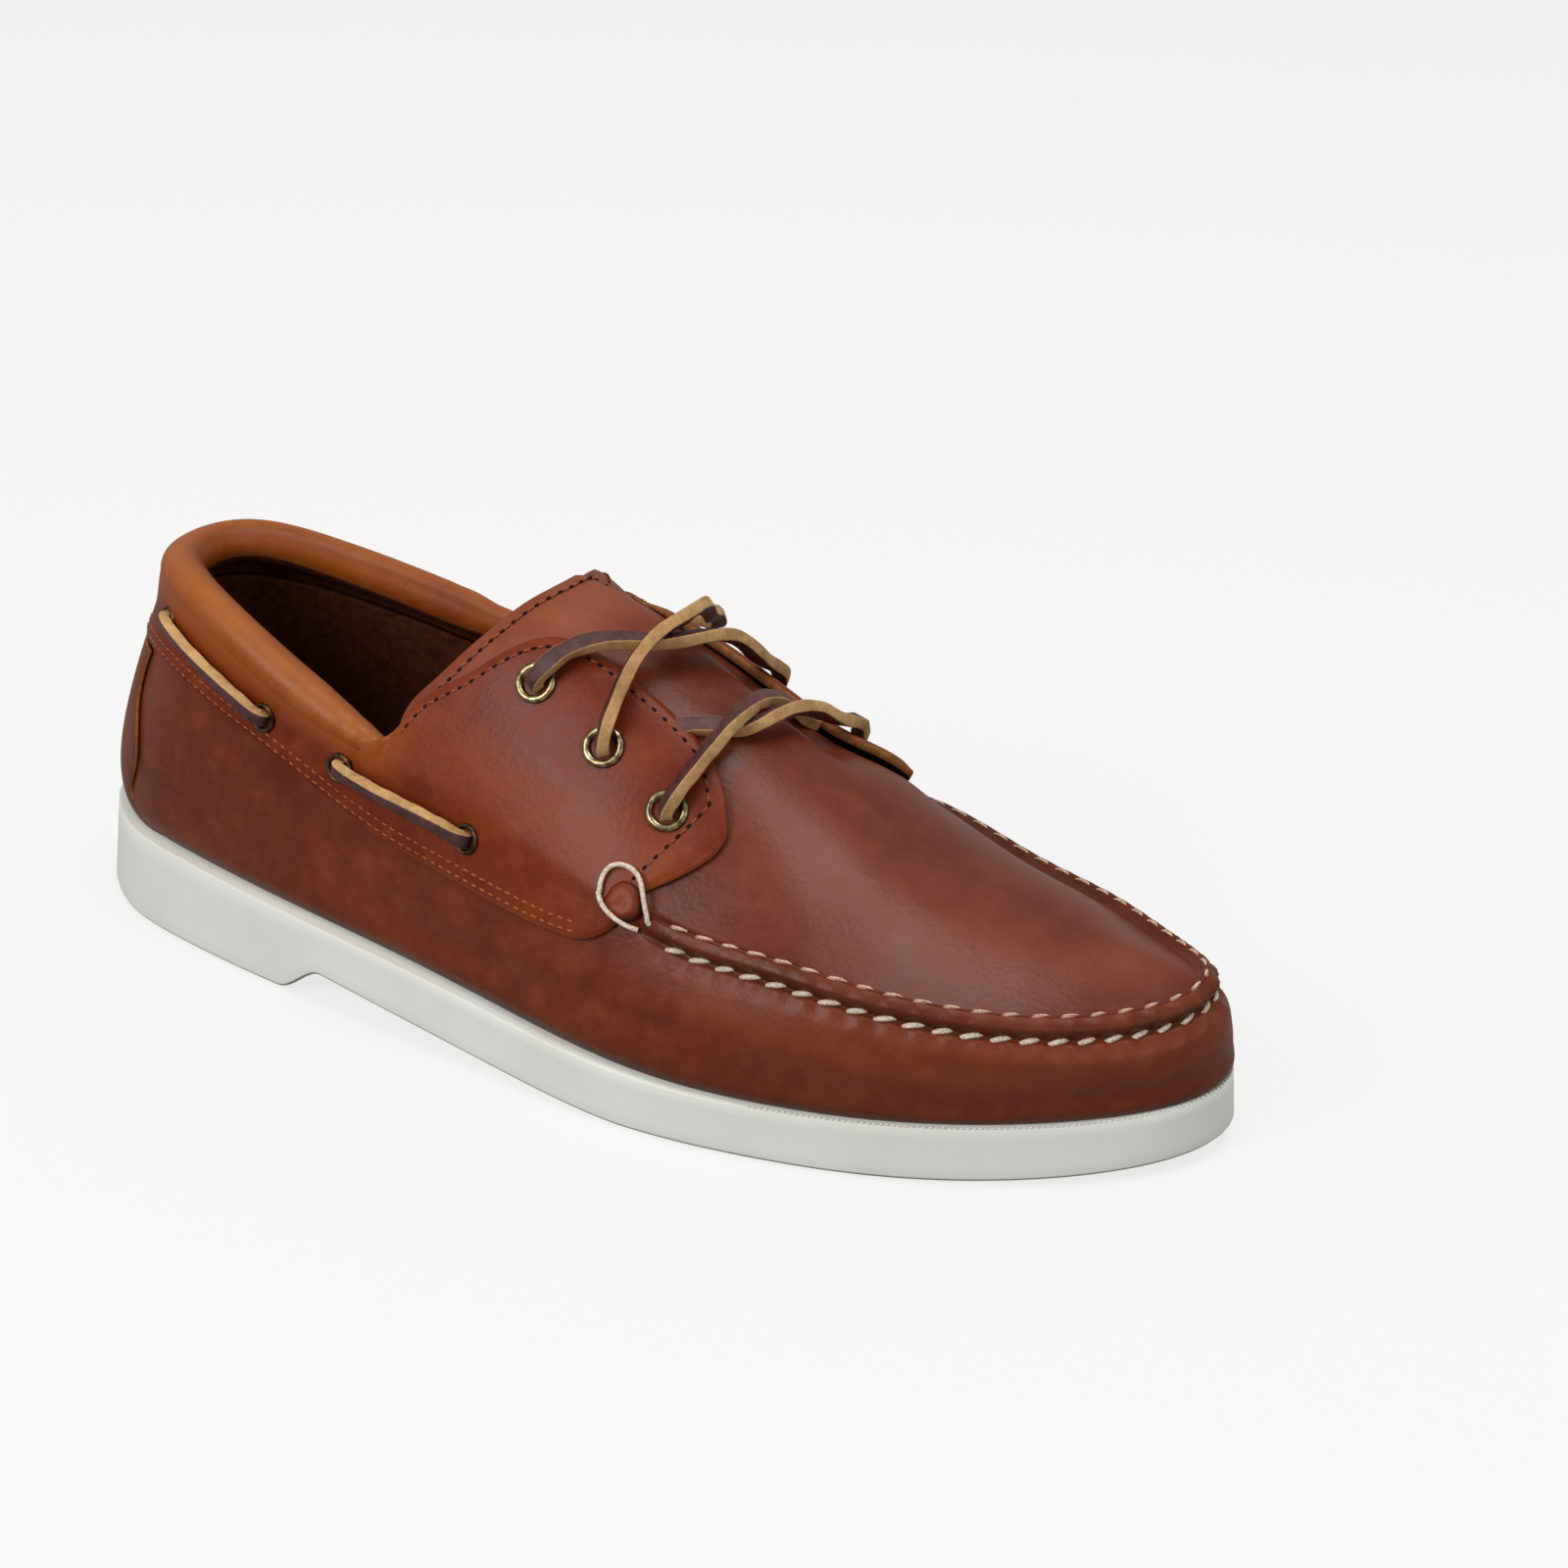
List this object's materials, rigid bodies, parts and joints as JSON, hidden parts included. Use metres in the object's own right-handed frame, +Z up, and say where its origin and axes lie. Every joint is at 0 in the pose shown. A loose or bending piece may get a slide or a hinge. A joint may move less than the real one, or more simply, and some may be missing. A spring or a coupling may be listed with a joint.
{
  "type": "boat shoe",
  "caption": "Right boat shoe with a hand-sewn moccasin upper, padded collar, leather lace through metal eyelets, and a pale rubber unit sole with a low heel.",
  "frame": {"origin": "middle of the footprint on the floor, under the box of the whole shoe", "axes": "+X to the toe, +Y to the inner side of the foot, +Z up"},
  "size_m": [0.295, 0.1042, 0.1002],
  "materials": {
    "sole_rubber": "matt, pale grey-white",
    "insole_leather": "worn smooth",
    "vamp_leather": "oiled pull-up grain leather, soft sheen",
    "tongue_leather": "oiled pull-up grain leather, soft sheen",
    "quarter_leather": "oiled pull-up grain leather, warmer tone",
    "backstay_leather": "oiled grain leather",
    "eyelet_brass": "antique, bright inside the bore",
    "side_eyelet_metal": "dark, lacquered",
    "lace_rawhide": "square-cut thong, dark grain face and tan cut faces"
  },
  "bodies": {
    "root": {"outsole": "sole_rubber", "insole": "insole_leather", "upper": "vamp_leather", "tongue": "tongue_leather", "quarter": "quarter_leather", "backstay": "backstay_leather", "eyelet_outer_1": "eyelet_brass", "eyelet_outer_2": "eyelet_brass", "eyelet_outer_3": "eyelet_brass", "eyelet_inner_1": "eyelet_brass", "eyelet_inner_2": "eyelet_brass", "eyelet_inner_3": "eyelet_brass", "side_eyelet_outer_1": "side_eyelet_metal", "side_eyelet_outer_2": "side_eyelet_metal", "side_eyelet_outer_3": "side_eyelet_metal", "side_eyelet_outer_4": "side_eyelet_metal", "side_eyelet_inner_1": "side_eyelet_metal", "side_eyelet_inner_2": "side_eyelet_metal", "side_eyelet_inner_3": "side_eyelet_metal", "side_eyelet_inner_4": "side_eyelet_metal", "side_lace_outer_back": "lace_rawhide", "side_lace_outer_front": "lace_rawhide", "side_lace_inner_back": "lace_rawhide", "side_lace_inner_front": "lace_rawhide", "lace_crossing_top": "lace_rawhide", "lace_crossing_bottom": "lace_rawhide"}
  },
  "joints": []
}
